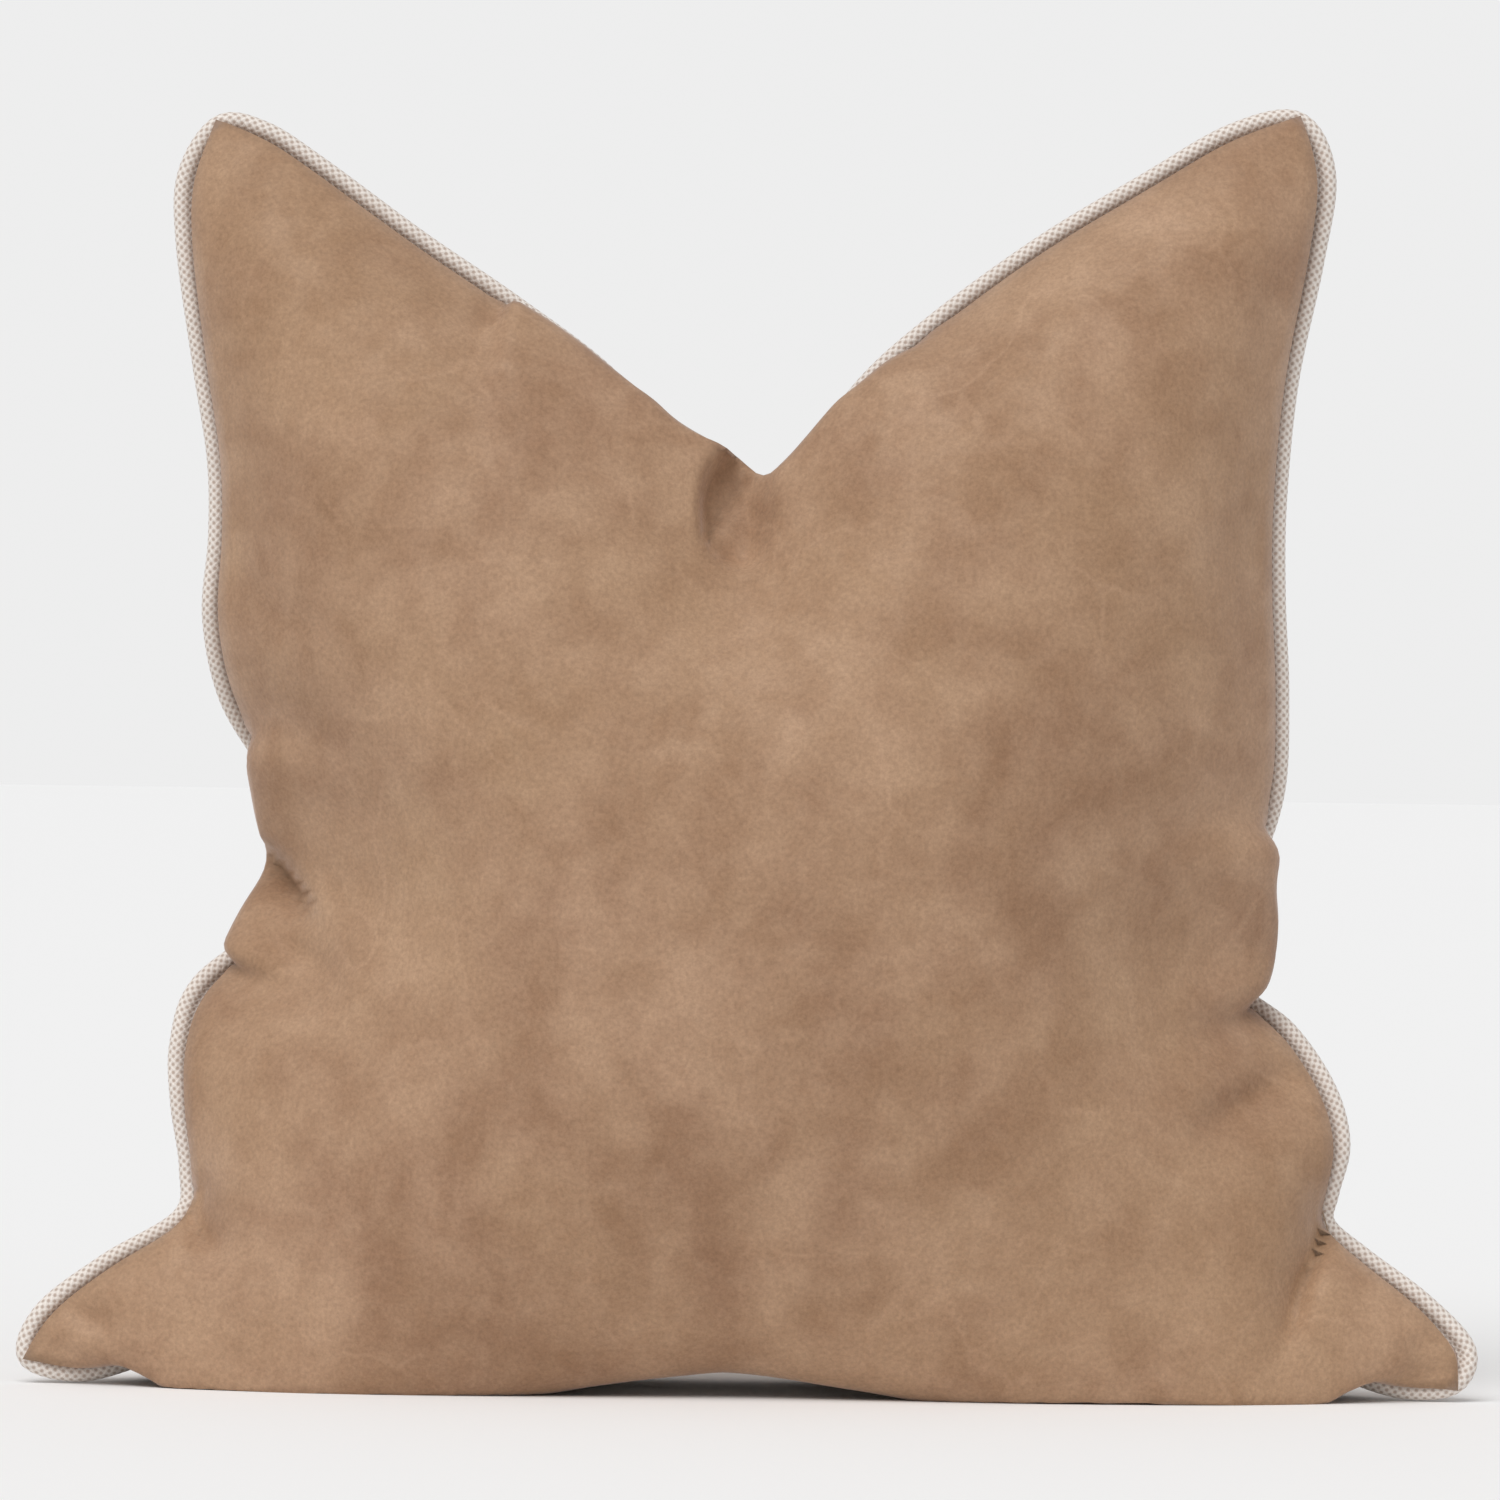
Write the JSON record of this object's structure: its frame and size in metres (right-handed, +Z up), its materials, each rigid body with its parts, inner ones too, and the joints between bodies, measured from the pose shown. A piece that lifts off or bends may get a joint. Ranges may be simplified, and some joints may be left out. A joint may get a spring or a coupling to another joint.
{
  "type": "throw pillow",
  "caption": "Square throw pillow with a crowned leather cover, welted seams, a hidden bottom zip and a stuffed removable insert.",
  "frame": {"origin": "on the surface the pillow stands on, under the middle of its bottom seam", "axes": "+X along the bottom seam to the right as seen from the front, +Y from the front panel to the back panel, +Z up"},
  "size_m": [0.5425, 0.1916, 0.4814],
  "materials": {
    "leather": "matte, softly napped",
    "welt_fabric": "basket weave",
    "cotton_cord": "twisted cotton",
    "thread": "spun polyester",
    "zip_tape": "woven tape",
    "zip_coil": "satin",
    "zip_metal": "antique satin",
    "label_fabric": "satin ribbon, blank",
    "ticking": "plain cotton",
    "filling": "feather and down"
  },
  "bodies": {
    "pillow": {"front_panel": "leather", "back_panel": "leather", "welt_cover": "welt_fabric", "welt_cord": "cotton_cord", "seam_thread": "thread", "zip_tape_front": "zip_tape", "zip_tape_back": "zip_tape", "zip_thread": "thread", "zip_coil_front": "zip_coil", "zip_coil_back": "zip_coil", "zip_top_stops": "zip_coil", "zip_bottom_stop": "zip_coil", "care_label": "label_fabric", "insert_front": "ticking", "insert_back": "ticking", "insert_fill": "filling"},
    "slider": {"zip_slider": "zip_metal"},
    "pull": {"zip_pull": "zip_metal"}
  },
  "joints": [
    {"name": "zip_slide", "type": "slide", "parent": "pillow", "child": "slider", "axis": [1, 0, 0], "range_m": [-0.32, 0]},
    {"name": "pull_swing", "type": "hinge", "parent": "slider", "child": "pull", "pos_m": [0.1613, 0.00513, 0.02746], "axis": [0, 1, 0], "range_deg": [-70, 70]}
  ]
}
